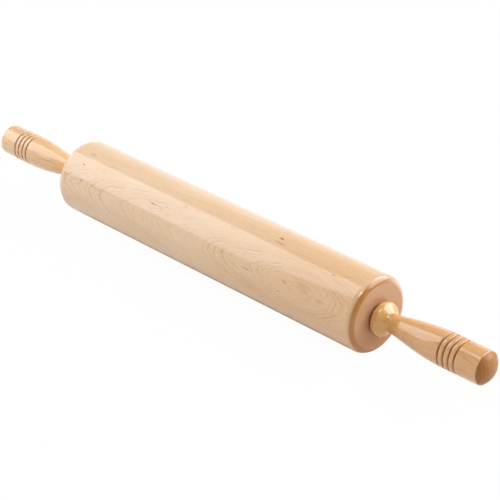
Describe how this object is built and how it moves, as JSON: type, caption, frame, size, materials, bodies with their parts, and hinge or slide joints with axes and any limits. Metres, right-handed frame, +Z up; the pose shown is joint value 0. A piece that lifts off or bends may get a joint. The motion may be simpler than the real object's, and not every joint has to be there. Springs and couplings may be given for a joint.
{
  "type": "rolling pin",
  "caption": "Turned maple rolling pin: a plain cylindrical barrel that spins on ball bearings round a steel rod, with a collared and grooved handle fixed on each end of the rod.",
  "frame": {"origin": "on the surface that the pin lies on, straight under the middle of the barrel", "axes": "+X along the axis from the left handle to the right one, +Y across the pin, +Z up; the pin's axis is 34.9 mm above the origin"},
  "size_m": [0.6234, 0.0698, 0.0698],
  "materials": {
    "barrel_maple": "clear satin lacquer over pale turned maple",
    "handle_maple": "clear gloss lacquer over golden turned maple",
    "rod_steel": "drawn bright bar",
    "bearing_steel": "ground and polished bearing steel",
    "ball_steel": "polished balls",
    "cage_brass": "machined brass",
    "spacer_steel": "turned steel tube"
  },
  "bodies": {
    "handles_and_axle": {"axle_rod": "rod_steel", "handle_left": "handle_maple", "handle_right": "handle_maple", "bearing_inner_ring_left": "bearing_steel", "bearing_inner_ring_right": "bearing_steel", "spacer_left": "spacer_steel", "spacer_right": "spacer_steel"},
    "barrel": {"barrel": "barrel_maple", "bearing_outer_ring_left": "bearing_steel", "bearing_outer_ring_right": "bearing_steel"},
    "ball_cage_left": {"ball_cage_left": "cage_brass", "ball_left_1": "ball_steel", "ball_left_2": "ball_steel", "ball_left_3": "ball_steel", "ball_left_4": "ball_steel", "ball_left_5": "ball_steel", "ball_left_6": "ball_steel", "ball_left_7": "ball_steel"},
    "ball_cage_right": {"ball_cage_right": "cage_brass", "ball_right_1": "ball_steel", "ball_right_2": "ball_steel", "ball_right_3": "ball_steel", "ball_right_4": "ball_steel", "ball_right_5": "ball_steel", "ball_right_6": "ball_steel", "ball_right_7": "ball_steel"}
  },
  "joints": [
    {"name": "barrel_spin", "type": "hinge", "parent": "handles_and_axle", "child": "barrel", "pos_m": [0, 0, 0.0349], "axis": [1, 0, 0], "continuous": true},
    {"name": "ball_cage_left_spin", "type": "hinge", "parent": "handles_and_axle", "child": "ball_cage_left", "pos_m": [-0.18602, 0, 0.0349], "axis": [1, 0, 0], "continuous": true},
    {"name": "ball_cage_right_spin", "type": "hinge", "parent": "handles_and_axle", "child": "ball_cage_right", "pos_m": [0.18602, 0, 0.0349], "axis": [1, 0, 0], "continuous": true}
  ],
  "couplings": [
    {"joint": "ball_cage_left_spin", "follows": "barrel_spin", "ratio": 0.632},
    {"joint": "ball_cage_right_spin", "follows": "barrel_spin", "ratio": 0.632}
  ]
}
